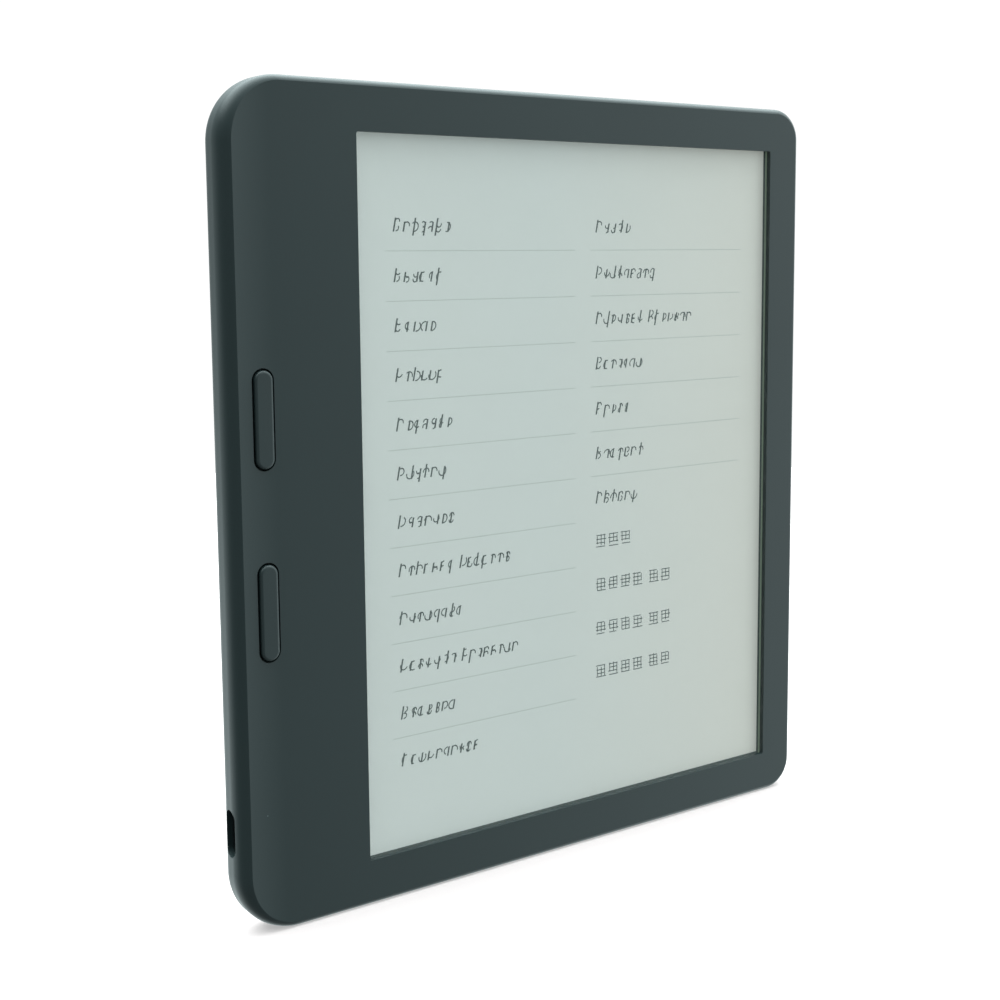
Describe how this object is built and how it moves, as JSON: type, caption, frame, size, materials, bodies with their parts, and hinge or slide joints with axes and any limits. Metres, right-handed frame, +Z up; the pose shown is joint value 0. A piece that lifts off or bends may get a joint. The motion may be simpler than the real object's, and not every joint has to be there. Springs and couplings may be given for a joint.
{
  "type": "e-reader",
  "caption": "Upright e-reader with a wide grip side, a recessed e-paper page, sliding page keys beside it, a rear power button and a side charging port.",
  "frame": {"origin": "middle of the bottom edge, on the surface that the reader stands on", "axes": "+Z up the page, +X from the grip side to the slim side, -Y out of the page towards the reader, +Y out of the rear cover"},
  "size_m": [0.1446, 0.0086, 0.161],
  "materials": {
    "housing": "fine-textured moulded slate-grey plastic",
    "rear_shell": "moulded slate-grey plastic with a fine dot texture",
    "key_plastic": "smooth moulded slate-grey plastic",
    "soft_seal": "black silicone and foam",
    "cover_film": "clear etched film",
    "light_guide": "clear moulded acrylic",
    "flex_film": "amber polyimide film",
    "led_resin": "yellow phosphor resin",
    "ink_page": "pale grey electronic paper",
    "panel_glass": "thin display glass",
    "chip_black": "black moulded epoxy",
    "black_tape": "black foam tape",
    "die_cast": "bare die-cast light alloy",
    "screw_steel": "zinc-plated steel",
    "stem_plastic": "ivory moulded plastic",
    "switch_plastic": "black moulded plastic",
    "spring_steel": "stainless spring strip",
    "board_green": "green solder mask on glass laminate",
    "light_pipe": "frosted clear plastic",
    "port_steel": "dark plated steel shell",
    "gold_plate": "gold-plated contacts",
    "tin_plate": "tin-plated steel",
    "connector_plastic": "ivory moulded plastic",
    "cable_jacket": "soft insulated wire",
    "cell_pouch": "laminated foil pouch",
    "white_tape": "stretch-release tape",
    "magnet_nickel": "nickel-plated magnet"
  },
  "bodies": {
    "reader": {"front_housing": "housing", "rear_cover": "rear_shell", "cover_gasket": "soft_seal", "display_gasket": "soft_seal", "touch_film": "cover_film", "light_guide": "light_guide", "light_bar": "flex_film", "light_leds": "led_resin", "ink_film": "ink_page", "backplane_glass": "panel_glass", "driver_chips": "chip_black", "display_tape": "black_tape", "chassis": "die_cast", "chassis_screws": "screw_steel", "upper_key_seal": "soft_seal", "lower_key_seal": "soft_seal", "upper_switch_base": "switch_plastic", "lower_switch_base": "switch_plastic", "upper_switch_dome": "spring_steel", "lower_switch_dome": "spring_steel", "key_board": "board_green", "key_board_screws": "screw_steel", "key_flex": "flex_film", "power_seal": "soft_seal", "power_switch_base": "switch_plastic", "power_switch_dome": "spring_steel", "power_board": "board_green", "status_led": "led_resin", "led_lens": "light_pipe", "usb_shell": "port_steel", "usb_tongue": "switch_plastic", "usb_contacts": "gold_plate", "usb_seal": "soft_seal", "main_board": "board_green", "board_screws": "screw_steel", "shield_can": "tin_plate", "processor": "chip_black", "memory_chip": "chip_black", "storage_chip": "chip_black", "power_chip": "chip_black", "wifi_module": "tin_plate", "ribbon_connectors": "connector_plastic", "display_ribbon": "flex_film", "touch_ribbon": "flex_film", "antenna": "flex_film", "antenna_cable": "cable_jacket", "battery_cell": "cell_pouch", "battery_board": "board_green", "battery_tape": "white_tape", "battery_leads": "cable_jacket", "battery_plug": "connector_plastic", "cover_magnets": "magnet_nickel", "hall_sensor": "chip_black"},
    "upper_key": {"page_key_upper": "key_plastic", "upper_key_stem": "stem_plastic"},
    "lower_key": {"page_key_lower": "key_plastic", "lower_key_stem": "stem_plastic"},
    "power_key": {"power_button": "key_plastic", "power_stem": "stem_plastic"}
  },
  "joints": [
    {"name": "upper_key_press", "type": "slide", "parent": "reader", "child": "upper_key", "axis": [0, 1, 0], "range_m": [0, 0.0003], "stiffness_N_per_m": 3000, "springref_m": -0.0001},
    {"name": "lower_key_press", "type": "slide", "parent": "reader", "child": "lower_key", "axis": [0, 1, 0], "range_m": [0, 0.0003], "stiffness_N_per_m": 3000, "springref_m": -0.0001},
    {"name": "power_press", "type": "slide", "parent": "reader", "child": "power_key", "axis": [0, -1, 0], "range_m": [0, 0.00025], "stiffness_N_per_m": 4000, "springref_m": -0.0001}
  ]
}
